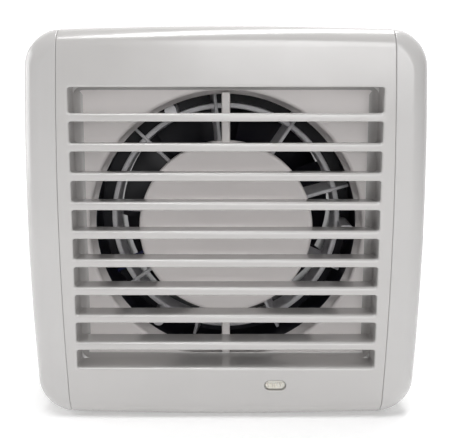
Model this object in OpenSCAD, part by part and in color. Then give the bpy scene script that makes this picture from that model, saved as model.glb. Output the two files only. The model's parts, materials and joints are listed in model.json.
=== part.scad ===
// Wall-mounted axial extract fan for a 100 mm round duct.
// Origin: on the duct axis, in the wall plane. +X right, +Y into the wall, +Z up.

/* [Cover] */
// Width of the front cover
cover_w = 152; // [151:1:156]
// Height of the front cover
cover_h = 151; // [150:1:156]
// How far the cover's centre sits above the duct axis
cover_rise = 1.5; // [0.5:0.1:2]
// How far the front face stands off the wall
cover_depth = 52; // [50:0.5:56]
// Wall thickness of the cover mouldings
wall = 2; // [1.8:0.1:2.2]
// Radius of the cover's corners, seen from the front
corner_r = 13; // [12:1:16]
// Radius of the rounded front edge
edge_r = 7; // [5:0.5:8]
// How far the left and right edges bow outward
side_bow = 2.4; // [1:0.1:2.5]
// How far the top and bottom edges bow outward
top_bow = 1.7; // [0.5:0.1:1.8]
// Width of the central panel between the two side cheeks
panel_w = 125.6; // [125:0.1:127]
// Width of the joint line beside the central panel
joint_gap = 0.3; // [0.2:0.05:0.4]
// How far the central panel wraps back over the top and bottom
panel_wrap = 10; // [9:0.5:12]
// Width of the release slot in the top edge
release_w = 9.5; // [8:0.5:11]

/* [Grille] */
// Number of louvre blades
blade_count = 9; // [9:1:9]
// Distance from one blade to the next
blade_pitch = 11; // [10.8:0.1:11]
// Thickness of a blade at its front edge
blade_nose = 3.1; // [2.6:0.1:3.3]
// Thickness of a blade at its rear edge
blade_tail = 1.7; // [1.4:0.1:2]
// Depth of a blade from front to rear
blade_depth = 12; // [10:0.5:12]
// Length of the slots between the blades
slot_w = 115.6; // [115:0.1:116]
// Height of the slotted field above the duct axis
field_top = 54.9; // [54.5:0.1:55]
// Depth of the slotted field below the duct axis
field_bottom = 52.8; // [52.5:0.1:54]

/* [Baffle] */
// Distance from the front face to the baffle plate
baffle_setback = 14; // [14:0.5:15]
// Radius of the round air aperture at the plate
aperture_r = 53.7; // [53:0.1:54]
// Radius of the aperture at the back of its collar
collar_r = 52; // [51.5:0.1:52.2]
// Length of the collar behind the plate's front
collar_len = 7; // [6:0.5:7.5]
// Radius of the blank centre disc
disc_r = 34.3; // [34:0.1:35]
// Depth of the dish in the centre disc
dish = 1.2; // [0.8:0.1:1.4]
// Width of the two struts that carry the disc
strut_w = 3.3; // [3:0.1:4]

/* [Housing] */
// Outside radius of the duct spigot
spigot_r = 49.5; // [49.4:0.1:49.5]
// Inside radius of the duct spigot
duct_r = 47.5; // [47.5:0.1:47.7]
// Length of the spigot behind the wall plane
spigot_len = 62; // [56:1:70]
// Inside radius of the air chamber in front of the wall
chamber_r = 54; // [53.5:0.1:54]
// Thickness of the wall base
base_t = 3; // [3:0.1:3.2]
// Side of the square wall base
base_w = 138; // [137:1:139]
// Distance between wall screws, both ways
screw_pitch = 120; // [118:1:121]
// Radius of the wall screw holes
screw_hole_r = 2.25; // [2.1:0.05:2.5]
// Radius of the supply cable's bore in the grommet
cable_r = 3.75; // [3.5:0.05:4]

/* [Carrier] */
// Number of radial vanes
vane_count = 9; // [9:1:9]
// Angle of the first vane, anticlockwise from the right
vane_start = 16; // [14:1:18]
// Thickness of a vane
vane_t = 1.5; // [1.2:0.1:1.8]
// Tilt of a vane about its radial line
vane_tilt = 8; // [4:1:10]
// Outside radius of the ring that joins the vanes
ring_r = 48.2; // [47:0.1:48.2]
// Wall of that ring
ring_t = 2.6; // [2.2:0.1:3]
// Outside radius of the motor cup
cup_r = 32; // [32:0.1:32.5]

/* [Fan wheel] */
// Number of fan blades
fan_blades = 7; // [5:1:7]
// Radius of the blade tips
fan_r = 46.3; // [45:0.1:46.5]
// Radius of the fan wheel's hub
fan_hub_r = 20; // [19:0.5:20]
// Angle of a fan blade to the plane of rotation, at its middle
fan_pitch = 20; // [18:1:21]
// Radius of the motor shaft
shaft_r = 2; // [2:0.05:2]

/* [Hidden] */
$fn = 96;
eps = 0.01;
front_y = -cover_depth;
inner_y = front_y + wall;
wrap_y = front_y + panel_wrap;
cover_back_y = -0.8;
plate_y = front_y + baffle_setback;
plate_t = 2;
collar_back_y = plate_y + collar_len;
chamber_front_y = collar_back_y + 1;
base_y = -base_t;
rim_front_y = -15;
rim_w = base_w - 1;
rim_t = 1.8;
chamber_t = 2.5;
arm_w = 12;
arm_front_y = -26;
hook_y = -23;
vane_front_y = -16;
vane_back_y = -3.2;
cup_front_y = -24;
cup_back_y = -2;
cup_floor_y = cup_back_y - 1.5;
cup_t = 1.5;
stack_front_y = -19;
stack_back_y = -9;
stator_bore_r = 11.4;
rotor_r = 11;
running_gap = 0.04;
fixed_gap = 0.02;
screw_r = 1.5;
screw_gap = 0.05;
motor_screw_x = 14.6;
leg_in_x = 12;
leg_out_x = 18;
leg_h = 12;
leg_foot_y = -4.5;
bush_r = 4;
shaft_front_y = -28.5;
shaft_back_y = 24;
carrier_screw_angles = [116, 236, 356];
boss_front_y = -7;
carrier_screw_at = 51;
spigot_seat_r = spigot_r + 1.5;
spigot_seat_y = -0.3;
holder_front_y = front_y + 18;
lamp_front_y = front_y + 8;
lamp_back_y = holder_front_y + 6;
carrier_pilot_r = 1;
lens_x = 19.3;
lens_z = -60.2;
lens_w = 7.9;
lens_h = 3.5;
lens_ribs = 7;
lamp_r = 2.2;
lead_r = 0.7;
wire_sides = 10;
lead_angle = 207;
lead_y = -4.9;
block_x = -38;
block_z = -61;
block_w = 24;
block_h = 11;
block_back_y = -5;
block_front_y = -16;
contact_dx = 6;
contact_y = -9;
contact_r = 2.25;
grommet_x = -59.8;
grommet_z = -36;
clamp_x = -57.9;
clamp_z = -49;
clamp_w = 16;
clamp_h = 5;
clamp_post_y = -12;
clamp_screw_dx = 5.7;
clamp_post_half = 2.2;
clamp_screw_r = 1.2;
release_y = front_y + edge_r + 0.5;
release_half = 1.2;

// ---- Shared shapes -------------------------------------------------------

// Flat shape in the X-Z plane, thickened from y = front to y = back
module slab(front, back)
    translate([0, back, 0]) rotate([90, 0, 0]) linear_extrude(back - front) children();

// Profile turned about the duct axis: its x is the radius, its y is the depth
module turned()
    rotate([-90, 0, 0]) rotate_extrude() children();

// Round bar or hole along the duct direction, centred on x, z
module bar(x, z, r, front, back)
    translate([x, front, z]) rotate([-90, 0, 0]) cylinder(r = r, h = back - front);

// Flat ring in the X-Z plane
module ring_shape(outer, inner)
    difference() {
        circle(r = outer);
        circle(r = inner);
    }

// Box between two corners
module block(low, high)
    translate(low) cube(high - low);

// Rectangle with true round corners
module soft_rectangle(w, h, r) {
    square([w - 2 * r, h], center = true);
    square([w, h - 2 * r], center = true);
    for (x = [-1, 1], y = [-1, 1])
        translate([x * (w / 2 - r), y * (h / 2 - r)]) circle(r = r);
}

// Slot shape with round ends
module stadium(w, h) {
    square([w - h, h], center = true);
    for (x = [-1, 1])
        translate([x * (w - h) / 2, 0]) circle(r = h / 2);
}

// Turn anticlockwise, as seen from the front, about the duct axis
module at_angle(a)
    rotate([0, -a, 0]) children();

// Point at radius r and angle a about the duct axis, at depth y
function polar(r, a, y) = [r * cos(a), y, r * sin(a)];

// Rod from a to b
module rod(a, b, r, sides = 32) {
    v = b - a;
    translate(a)
        rotate([0, acos(v.z / norm(v)), atan2(v.y, v.x)])
            cylinder(r = r, h = norm(v), $fn = sides);
}

// Wire through a list of points: each length runs on a little past its bends
module wire(points, r) {
    last = len(points) - 2;
    for (i = [0:last]) {
        along = (points[i + 1] - points[i]) / norm(points[i + 1] - points[i]);
        rod(points[i] - (i > 0 ? 0.6 * r : 0) * along,
            points[i + 1] + (i < last ? 0.6 * r : 0) * along, r, wire_sides);
    }
}

// ---- Cover outline -------------------------------------------------------

// The cover's edges bow outward, most at mid-side
function bowed(p) = [p.x * (1 - 2 * side_bow / cover_w * pow(2 * p.y / cover_h, 2)),
                     p.y * (1 - 2 * top_bow / cover_h * pow(2 * p.x / cover_w, 2))];

// Rounded rectangle as points: quarter arcs joined by subdivided straight sides
arc_steps = 8;
side_steps = 8;
function corner_arc(cx, cz, r, from) =
    [for (i = [0:arc_steps]) [cx + r * cos(from + 90 * i / arc_steps),
                              cz + r * sin(from + 90 * i / arc_steps)]];
function side_points(a, b) =
    [for (i = [1:side_steps - 1]) a + (b - a) * i / side_steps];
function outline(w, h, r) =
    let (x = w / 2 - r, z = h / 2 - r)
    concat(corner_arc(x, z, r, 0), side_points([x, h / 2], [-x, h / 2]),
           corner_arc(-x, z, r, 90), side_points([-w / 2, z], [-w / 2, -z]),
           corner_arc(-x, -z, r, 180), side_points([-x, -h / 2], [x, -h / 2]),
           corner_arc(x, -z, r, 270), side_points([w / 2, -z], [w / 2, z]));

// Solid with the cover's outline, a rounded front edge and a flat back
round_steps = 6;
module cover_solid(inset, front, back, edge) {
    hull()
        for (i = [0:round_steps]) {
            a = 90 * i / round_steps;
            cut = inset + edge * (1 - sin(a));
            y = front + edge * (1 - cos(a));
            slab(y, i == round_steps ? back : y + eps)
                polygon([for (p = outline(cover_w - 2 * cut, cover_h - 2 * cut, corner_r - cut / 2))
                         bowed(p)]);
        }
}

// The cover's outer walls and front, before it is split into panel and surround
module cover_shell()
    translate([0, 0, cover_rise]) difference() {
        cover_solid(0, front_y, cover_back_y, edge_r);
        cover_solid(wall, inner_y, cover_back_y + 1, edge_r - wall);
    }

// Column between the two bowed joint lines
module panel_column(w, front, back) {
    tall = cover_h / 2 + 5;
    steps = 24;
    right = [for (i = [-steps:steps]) bowed([w / 2, 0]) + [bowed([w / 2, tall * i / steps]).x - w / 2,
                                                          tall * i / steps]];
    left = [for (i = [steps:-1:-steps]) [-right[i + steps].x, right[i + steps].y]];
    translate([0, 0, cover_rise]) slab(front, back) polygon(concat(right, left));
}

// ---- Cover ---------------------------------------------------------------

// Left and right cheeks and the four side walls
module cover_surround() {
    lip_in = panel_w / 2 - 3;
    lip_out = panel_w / 2 + 3;
    lip_tall = cover_h / 2 - 2 * edge_r;
    color("whitesmoke") {
        difference() {
            cover_shell();
            panel_column(panel_w + 2 * joint_gap, front_y - 1, wrap_y + joint_gap);
        }
        for (s = [-1, 1])
            block([min(s * lip_in, s * lip_out), inner_y, cover_rise - lip_tall],
                  [max(s * lip_in, s * lip_out), inner_y + 1.2, cover_rise + lip_tall]);
    }
}

// One louvre blade: round nose at the front, thinner towards the rear
module louvre_blade() {
    nose = blade_nose / 2;
    tail = blade_tail / 2;
    round = 0.8;
    translate([-slot_w / 2 - 0.5, 0, 0]) rotate([90, 0, 90]) linear_extrude(slot_w + 1) {
        polygon([[front_y + round, nose], [front_y + blade_depth, tail],
                 [front_y + blade_depth, -tail], [front_y + round, -nose],
                 [front_y, -nose + round], [front_y, nose - round]]);
        for (z = [-1, 1])
            translate([front_y + round, z * (nose - round)]) circle(r = round);
    }
}

// Central panel with the slotted field, its duct walls and the blades
module grille_panel() {
    frame_t = 1.3;
    color("white") {
        difference() {
            intersection() {
                cover_shell();
                panel_column(panel_w, front_y - 1, wrap_y);
            }
            block([-slot_w / 2, front_y - 1, -field_bottom], [slot_w / 2, inner_y + 1, field_top]);
            translate([lens_x, 0, lens_z])
                slab(front_y - 1, inner_y + 1) stadium(lens_w + 0.6, lens_h + 0.6);
            block([-release_w / 2, release_y - release_half, cover_rise + cover_h / 2 - 4],
                  [release_w / 2, release_y + release_half, cover_rise + cover_h / 2 + 1]);
        }
        difference() {
            block([-slot_w / 2 - frame_t, inner_y, -field_bottom - frame_t],
                  [slot_w / 2 + frame_t, plate_y, field_top + frame_t]);
            block([-slot_w / 2, inner_y - 1, -field_bottom], [slot_w / 2, plate_y + 1, field_top]);
        }
        for (i = [0:blade_count - 1])
            translate([0, 0, (i - (blade_count - 1) / 2) * blade_pitch]) louvre_blade();
    }
}

// Plate behind the blades with the collar of the round aperture
module baffle_plate() {
    half_w = slot_w / 2 + 3.5;
    low = -field_bottom - 6;
    high = field_top + 5;
    back_y = plate_y + plate_t;
    collar_t = 1.4;
    color("gainsboro") {
        difference() {
            block([-half_w, plate_y, low], [half_w, back_y, high]);
            bar(0, 0, aperture_r + 0.5, plate_y - 1, back_y + 1);
            block([lens_x - 6, plate_y - 1, low - 1], [lens_x + 6, back_y + 1, lens_z + 4.6]);
        }
        turned()
            polygon([[aperture_r, plate_y], [aperture_r + 1, plate_y], [aperture_r + 1, back_y],
                     [collar_r + collar_t, collar_back_y], [collar_r, collar_back_y]]);
    }
}

// Dished centre disc on two struts that end on the collar's tapered inside
module baffle_disc() {
    rim_y = plate_y + 4;
    color("gainsboro") {
        turned()
            polygon([[0, plate_y + dish], [disc_r * 0.5, plate_y + dish * 0.75],
                     [disc_r - 3, plate_y + dish * 0.2], [disc_r - 1, plate_y], [disc_r, plate_y + 0.4],
                     [disc_r, rim_y], [disc_r - 1.6, rim_y],
                     [disc_r - 1.6, plate_y + 2.2], [0, plate_y + dish + 2]]);
        intersection() {
            for (s = [-1, 1])
                block([-strut_w / 2, plate_y + 0.2, s > 0 ? disc_r - 1 : -aperture_r - 1],
                      [strut_w / 2, rim_y, s > 0 ? aperture_r + 1 : -disc_r + 1]);
            turned()
                polygon([[0, plate_y], [aperture_r, plate_y], [collar_r, collar_back_y],
                         [0, collar_back_y]]);
        }
    }
}

// Ribbed oval pilot lens with a flange behind the panel
module indicator_lens() {
    proud = 0.3;
    color("ivory") translate([lens_x, 0, lens_z]) {
        slab(front_y + proud, inner_y + 0.2) stadium(lens_w, lens_h);
        slab(inner_y, inner_y + 1.2) stadium(lens_w + 2.2, lens_h + 2.2);
        for (i = [0:lens_ribs - 1])
            translate([(i - (lens_ribs - 1) / 2) * 0.9, 0, 0])
                block([-0.22, front_y, -lens_h / 2 + 0.5], [0.22, front_y + proud, lens_h / 2 - 0.5]);
    }
}

// ---- Housing -------------------------------------------------------------

// Square base against the wall: rim, catch arms, screw holes, terminal boss and clamp posts
module wall_base() {
    pilot_y = base_y + 2.4;
    color([0.2, 0.21, 0.24])
        difference() {
            union() {
                slab(base_y, 0) soft_rectangle(base_w, base_w, 10);
                difference() {
                    slab(rim_front_y, base_y) soft_rectangle(rim_w, rim_w, 9.5);
                    slab(rim_front_y - 1, base_y) soft_rectangle(rim_w - 2 * rim_t, rim_w - 2 * rim_t, 7.7);
                }
                for (s = [-1, 1]) catch_arm(s);
                for (x = [-1, 1], z = [-1, 1])
                    bar(x * screw_pitch / 2, z * screw_pitch / 2, 5, base_y - 3, base_y);
                block([block_x - block_w / 2, block_back_y, block_z - block_h / 2],
                      [block_x + block_w / 2, base_y, block_z + block_h / 2]);
                for (s = [-1, 1]) {
                    post_x = clamp_x + s * clamp_screw_dx;
                    block([post_x - clamp_post_half, clamp_post_y, clamp_z - clamp_h / 2],
                          [post_x + clamp_post_half, base_y, clamp_z + clamp_h / 2]);
                }
            }
            bar(0, 0, duct_r, base_y - 1, 1);
            bar(0, 0, spigot_seat_r, spigot_seat_y, 1);
            for (x = [-1, 1], z = [-1, 1])
                bar(x * screw_pitch / 2, z * screw_pitch / 2, screw_hole_r, base_y - 4, 1);
            for (a = carrier_screw_angles)
                at_angle(a) bar(carrier_screw_at, 0, carrier_pilot_r + screw_gap, base_y - 1, pilot_y);
            bar(grommet_x, grommet_z, 5, base_y - 1, 1);
            for (s = [-1, 1])
                bar(clamp_x + s * clamp_screw_dx, clamp_z, clamp_screw_r + screw_gap,
                    clamp_post_y - 1, base_y - 1);
        }
}

// Round wall of the air chamber in front of the base, notched for the motor leads
module air_chamber()
    color([0.2, 0.21, 0.24])
        difference() {
            slab(chamber_front_y, base_y) ring_shape(chamber_r + chamber_t, chamber_r);
            at_angle(lead_angle)
                block([chamber_r - 2, base_y - 3.6, -2.4], [chamber_r + chamber_t + 2, base_y + 1, 2.4]);
        }

// Tube that enters the duct, with a thin flange let into the back of the base
module duct_spigot()
    color([0.2, 0.21, 0.24])
        turned()
            polygon([[duct_r, spigot_seat_y], [spigot_seat_r, spigot_seat_y], [spigot_seat_r, 0],
                     [spigot_r, 0], [spigot_r, spigot_len], [duct_r, spigot_len]]);

// Springy arm at the rim's top or bottom, with a small round catch
module catch_arm(s) {
    top = rim_w / 2;
    block([-arm_w / 2, arm_front_y, s > 0 ? top - rim_t : -top],
          [arm_w / 2, rim_front_y, s > 0 ? top : -top + rim_t]);
    translate([-arm_w / 2, hook_y, s * (top - 0.4)]) rotate([0, 90, 0])
        cylinder(r = 1.2, h = arm_w, $fn = 32);
}

// ---- Motor carrier -------------------------------------------------------

channel_front_y = lead_y - 1.9;
channel_half = 2.2;

// Ring that joins nine vanes, with three screw lugs
module vane_ring() {
    boss_r = 2.3;
    lug_half = 1.9;
    color("white")
        difference() {
            union() {
                slab(vane_front_y + 0.6, vane_back_y - 0.4) ring_shape(ring_r, ring_r - ring_t);
                for (i = [0:vane_count - 1])
                    at_angle(vane_start + i * 360 / vane_count) carrier_vane();
                for (a = carrier_screw_angles)
                    at_angle(a) {
                        bar(carrier_screw_at, 0, boss_r, boss_front_y, base_y);
                        block([ring_r - 1, boss_front_y, -lug_half],
                              [carrier_screw_at, vane_back_y, lug_half]);
                    }
            }
            bar(0, 0, cup_r, vane_front_y - 1, vane_back_y + 1);
            for (a = carrier_screw_angles)
                at_angle(a)
                    bar(carrier_screw_at, 0, carrier_pilot_r + screw_gap, boss_front_y - 1, base_y + 1);
            at_angle(lead_angle)
                block([ring_r - ring_t - 1, channel_front_y, -channel_half],
                      [ring_r + 2, vane_back_y + 1, channel_half]);
        }
}

// Cup between the vanes' inner ends that holds the motor
module motor_cup()
    color("white")
        difference() {
            union() {
                slab(cup_front_y, cup_back_y) ring_shape(cup_r, cup_r - cup_t);
                slab(cup_floor_y, cup_back_y) ring_shape(cup_r - 0.7, 7);
            }
            for (s = [-1, 1])
                bar(s * motor_screw_x, 0, screw_r + screw_gap, cup_floor_y - 1, cup_back_y + 1);
            at_angle(lead_angle)
                block([cup_r - 4, channel_front_y, -channel_half],
                      [cup_r + 1, cup_floor_y - 0.4, channel_half]);
        }

// One vane along +X, tilted about its own radial line
module carrier_vane()
    intersection() {
        translate([0, (vane_front_y + vane_back_y) / 2, 0]) rotate([vane_tilt, 0, 0])
            block([cup_r - 0.8, -9, -vane_t / 2], [chamber_r - 0.7, 9, vane_t / 2]);
        block([0, vane_front_y, -5], [chamber_r, vane_back_y, 5]);
    }

// Three self-tapping screws that hold the carrier to the wall base
module carrier_screws() {
    head_y = boss_front_y - 1.3;
    color("silver")
        for (a = carrier_screw_angles)
            at_angle(a) difference() {
                union() {
                    bar(carrier_screw_at, 0, carrier_pilot_r, boss_front_y - eps, base_y + 2.2);
                    bar(carrier_screw_at, 0, 1.9, head_y, boss_front_y);
                }
                screw_cross(carrier_screw_at, 0, head_y, 1.2);
            }
}

// Cross recess in a screw head at x, z whose face is at y
module screw_cross(x, z, y, half) {
    depth = 0.7;
    thin = 0.25;
    block([x - half, y - 1, z - thin], [x + half, y + depth, z + thin]);
    block([x - thin, y - 1, z - half], [x + thin, y + depth, z + half]);
}

// ---- Motor ---------------------------------------------------------------

// Laminated C-frame stack: rotor block on top, coil limb below
module stator_core() {
    core_w = 36;
    core_top = 15;
    core_bottom = -25;
    limb_top = -18;
    window_top = -13.5;
    window_w = 22;
    color("dimgray")
        slab(stack_front_y, stack_back_y) difference() {
            intersection() {
                translate([-core_w / 2, core_bottom]) square([core_w, core_top - core_bottom]);
                circle(r = cup_r - cup_t - 0.8);
            }
            circle(r = stator_bore_r);
            translate([-window_w / 2, limb_top]) square([window_w, window_top - limb_top]);
            for (s = [-1, 1])
                translate([s * motor_screw_x, 0]) circle(r = screw_r + screw_gap);
            for (s = [-1, 1], p = shading_pair)
                translate(s * p) circle(r = shading_r + fixed_gap);
        }
}

shading_r = 0.9;
shading_pair = [[12.8, -7.5], [9.5, -11.2]];

// Copper shading rings: two bars through the stack, joined at both ends
module shading_rings() {
    link_t = 0.9;
    color("chocolate")
        for (s = [-1, 1]) {
            ends = s * shading_pair;
            along = ends[1] - ends[0];
            for (p = ends)
                bar(p.x, p.y, shading_r, stack_front_y - link_t, stack_back_y + link_t);
            for (y = [stack_front_y - link_t, stack_back_y])
                slab(y, y + link_t) translate((ends[0] + ends[1]) / 2)
                    rotate(atan2(along.y, along.x)) square([norm(along), 1.6], center = true);
        }
}

bobbin_x = 10.9;
bobbin_low = -27.9;
bobbin_high = -13.6;
tube_low = -25.9;
tube_high = -17.1;
tube_front = -19.9;
tube_back = -8.1;
flange_front = -23.5;
flange_back = -4.5;

// Moulded bobbin around the lower limb
module coil_bobbin() {
    flange_t = 0.9;
    color("ivory")
        difference() {
            union() {
                block([-bobbin_x, tube_front, tube_low], [bobbin_x, tube_back, tube_high]);
                for (s = [-1, 1])
                    block([s > 0 ? bobbin_x - flange_t : -bobbin_x, flange_front, bobbin_low],
                          [s > 0 ? bobbin_x : -bobbin_x + flange_t, flange_back, bobbin_high]);
            }
            block([-bobbin_x - 1, tube_front + 0.8, tube_low + 0.8],
                  [bobbin_x + 1, tube_back - 0.8, tube_high - 0.8]);
        }
}

// Winding between the bobbin flanges, as deep and tall as they allow
module stator_coil() {
    half = bobbin_x - 1;
    inset = 0.7;
    coil_d = flange_back - flange_front - 2 * inset;
    coil_h = bobbin_high - bobbin_low - 2 * inset + 0.2;
    color("sienna")
        difference() {
            translate([-half, (flange_front + flange_back) / 2, (bobbin_low + bobbin_high) / 2])
                rotate([90, 0, 90]) linear_extrude(2 * half) soft_rectangle(coil_d, coil_h, 2);
            block([-half - 1, tube_front, tube_low], [half + 1, tube_back, tube_high]);
        }
}

// Two legs and a bridge with a seat for the bush
module motor_bracket(leg_front, leg_back, bridge_front, bridge_back) {
    color("silver")
        difference() {
            union() {
                for (s = [-1, 1])
                    block([min(s * leg_in_x, s * leg_out_x), leg_front, -leg_h / 2],
                          [max(s * leg_in_x, s * leg_out_x), leg_back, leg_h / 2]);
                block([-leg_in_x - 1, bridge_front, -leg_h / 2], [leg_in_x + 1, bridge_back, leg_h / 2]);
            }
            bar(0, 0, bush_r + fixed_gap, bridge_front - 1, bridge_back + 1);
            for (s = [-1, 1])
                bar(s * motor_screw_x, 0, screw_r + screw_gap, leg_front - 1, leg_back + 1);
        }
}

// Bearing bracket in front of the stack
module bracket_front()
    motor_bracket(-26, stack_front_y, -26, -24);

// Bearing bracket behind the stack
module bracket_rear()
    motor_bracket(stack_back_y, leg_foot_y, -6, leg_foot_y);

// Sintered bush with a running bore
module bush(front, back)
    color("darkkhaki") slab(front, back) ring_shape(bush_r, shaft_r + running_gap);

// Front bush
module bearing_front()
    bush(-27, -22);

// Rear bush
module bearing_rear()
    bush(-6, -1.5);

// Two long screws through both brackets and the stack into the cup's floor
module motor_screws() {
    head_y = -28;
    color("silver")
        for (s = [-1, 1])
            difference() {
                union() {
                    bar(s * motor_screw_x, 0, screw_r, head_y + 1, cup_back_y - 0.3);
                    bar(s * motor_screw_x, 0, 2.8, head_y, head_y + 2);
                }
                screw_cross(s * motor_screw_x, 0, head_y, 1.6);
            }
}

// Damping washers between the rear bracket and the cup's floor
module rubber_mounts()
    color("black")
        for (s = [-1, 1])
            translate([s * motor_screw_x, 0, 0])
                slab(leg_foot_y, cup_floor_y) ring_shape(3, screw_r + screw_gap);

// ---- Electrical parts ----------------------------------------------------

// Two-pole terminal block on its boss
module terminal_block() {
    color("snow")
        difference() {
            block([block_x - block_w / 2, block_front_y, block_z - block_h / 2],
                  [block_x + block_w / 2, block_back_y, block_z + block_h / 2]);
            for (s = [-1, 1]) {
                translate([block_x + s * contact_dx, contact_y, block_z - block_h / 2 - 1])
                    cylinder(r = contact_r + screw_gap, h = block_h + 2, $fn = 48);
                bar(block_x + s * contact_dx, block_z, 1.9, block_front_y - 1, contact_y);
                translate([block_x + block_w / 2 - 3, -8, block_z + s]) rotate([0, 90, 0])
                    cylinder(r = lead_r + screw_gap, h = 4, $fn = 32);
            }
        }
}

// Brass clamp barrels in the block
module terminal_contacts()
    color("gold")
        for (s = [-1, 1])
            difference() {
                translate([block_x + s * contact_dx, contact_y, block_z - 4.5])
                    cylinder(r = contact_r, h = 9, $fn = 48);
                translate([block_x + s * contact_dx, contact_y, block_z - 5.5])
                    cylinder(r = 1.4, h = 11, $fn = 48);
                bar(block_x + s * contact_dx, block_z, 1.2 + screw_gap, block_front_y, contact_y);
            }

// Slotted clamp screws in the barrels
module terminal_screws()
    color("silver")
        for (s = [-1, 1])
            difference() {
                union() {
                    bar(block_x + s * contact_dx, block_z, 1.2, block_front_y + 1, contact_y - 0.9);
                    bar(block_x + s * contact_dx, block_z, 1.75, block_front_y + 0.6, block_front_y + 2);
                }
                block([block_x + s * contact_dx - 2, block_front_y, block_z - 0.25],
                      [block_x + s * contact_dx + 2, block_front_y + 1.2, block_z + 0.25]);
            }

// Strap across the supply cable's path
module cord_clamp()
    color("snow")
        difference() {
            block([clamp_x - clamp_w / 2, clamp_post_y - 2.4, clamp_z - clamp_h / 2],
                  [clamp_x + clamp_w / 2, clamp_post_y, clamp_z + clamp_h / 2]);
            for (s = [-1, 1])
                bar(clamp_x + s * clamp_screw_dx, clamp_z, clamp_screw_r + screw_gap,
                    clamp_post_y - 4, clamp_post_y + 1);
        }

// Two screws of the strap
module cord_clamp_screws() {
    head_y = clamp_post_y - 4;
    color("silver")
        for (s = [-1, 1])
            difference() {
                union() {
                    bar(clamp_x + s * clamp_screw_dx, clamp_z, clamp_screw_r, head_y + 1, base_y - 2);
                    bar(clamp_x + s * clamp_screw_dx, clamp_z, 2.3, head_y, head_y + 1.6);
                }
                screw_cross(clamp_x + s * clamp_screw_dx, clamp_z, head_y, 1.4);
            }
}

// Rubber grommet where the supply cable comes through the wall base
module cable_grommet() {
    color("black") translate([grommet_x, 0, grommet_z])
        turned()
            polygon([[cable_r, base_y - 2], [6.5, base_y - 2], [6.5, base_y], [5, base_y],
                     [5, -0.2], [cable_r, -0.2]]);
}

// Two insulated leads from the coil, through the carrier, to the terminal block
module motor_leads() {
    color("navy")
        for (s = [-1, 1]) {
            contact_x = block_x - s * contact_dx;
            wire([[-bobbin_x - 0.6, lead_y, -21 + 1.2 * s],
                  polar(25, lead_angle, lead_y) + s * [-0.2, 0, 1.35],
                  polar(58.5, lead_angle, lead_y) + s * [-1.1, 0, 0.9],
                  [-47.5 - 1.2 * s, lead_y, -42],
                  [contact_x, contact_y, -52 - 0.6 * s],
                  [contact_x, contact_y, -57.5]], lead_r);
        }
}

// Two insulated leads from the terminal block to the lamp holder
module lamp_leads()
    color("navy")
        for (s = [-1, 1])
            rod([block_x + block_w / 2 - 2.8, -8, block_z + s], [lens_x - 4, -8, block_z + s], lead_r);

// Post that holds the lamp behind the lens
module lamp_holder()
    color("snow")
        difference() {
            block([lens_x - 4, holder_front_y, lens_z - 4], [lens_x + 4, base_y, lens_z + 4]);
            bar(lens_x, lens_z, lamp_r + 0.1, holder_front_y - 1, lamp_back_y);
        }

// Neon lamp: straight glass with a round nose
module indicator_lamp()
    color("orange") {
        bar(lens_x, lens_z, lamp_r, lamp_front_y, lamp_back_y);
        translate([lens_x, lamp_front_y, lens_z]) sphere(r = lamp_r, $fn = 48);
    }

// ---- Rotor and fan wheel -------------------------------------------------

// Steel shaft
module shaft()
    color("silver") bar(0, 0, shaft_r, shaft_front_y, shaft_back_y);

// Squirrel-cage stack
module rotor_core()
    color("gray") slab(stack_front_y, stack_back_y) ring_shape(rotor_r, shaft_r + fixed_gap);

// Cast end rings on both ends of the cage
module rotor_end_rings()
    color("lightgray")
        for (y = [stack_front_y - 2, stack_back_y])
            slab(y, y + 2) ring_shape(rotor_r - 0.5, 5.5);

// Fibre washers between the cage and the bushes
module thrust_washers()
    color("saddlebrown")
        for (y = [-21.9, -6.8])
            slab(y, y + 0.7) ring_shape(4.5, shaft_r + fixed_gap);

wheel_front_y = 4;
wheel_back_y = 22;

bush_tube_r = 6.5;
insert_r = 4.5;

// Cup-shaped hub of the fan wheel, with the tube that holds its brass insert
module impeller_hub() {
    shell_t = 1.8;
    floor_y = wheel_front_y + 2;
    tube_back_y = wheel_back_y - 2;
    color([0.16, 0.17, 0.2])
        turned()
            polygon([[insert_r + fixed_gap, wheel_front_y], [fan_hub_r - 1, wheel_front_y],
                     [fan_hub_r, wheel_front_y + 1], [fan_hub_r, wheel_back_y],
                     [fan_hub_r - shell_t, wheel_back_y], [fan_hub_r - shell_t, floor_y],
                     [bush_tube_r, floor_y], [bush_tube_r, tube_back_y],
                     [insert_r + fixed_gap, tube_back_y]]);
}

// The fan wheel's curved blades, from the hub's outside to the tip circle
module impeller_blades()
    color([0.16, 0.17, 0.2])
        intersection() {
            for (i = [0:fan_blades - 1])
                at_angle(360 * i / fan_blades) fan_blade();
            slab(wheel_front_y + 0.2, wheel_back_y - 0.2) ring_shape(fan_r, fan_hub_r);
        }

// One blade along +X: an arc-shaped section at the pitch angle, cut to a sector
module fan_blade() {
    bend_r = 90;
    crown_y = (wheel_front_y + wheel_back_y) / 2 + 2;
    blade_t = 1.7;
    reach = 1.2 * fan_r;
    edge = 180 / fan_blades + 0.1;
    intersection() {
        translate([fan_hub_r - 4, crown_y, 0]) rotate([0, 90, 0])
            linear_extrude(fan_r)
                rotate(fan_pitch)
                    translate([0, -bend_r])
                        ring_shape(bend_r + blade_t / 2, bend_r - blade_t / 2, $fn = 180);
        slab(wheel_front_y - 1, wheel_back_y + 1)
            polygon([[0, 0], reach * [cos(edge), -sin(edge)], reach * [cos(edge), sin(edge)]]);
    }
}

// Brass insert in the wheel's bush tube
module impeller_bush()
    color("gold") slab(wheel_front_y, wheel_back_y - 2) ring_shape(insert_r, shaft_r + fixed_gap);

// Push-on cap that keeps the wheel on the shaft
module impeller_clip()
    color("silver")
        slab(wheel_back_y - 2, wheel_back_y - 1) ring_shape(5.2, shaft_r + fixed_gap);

// ---- One line per sub-part -----------------------------------------------

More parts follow.
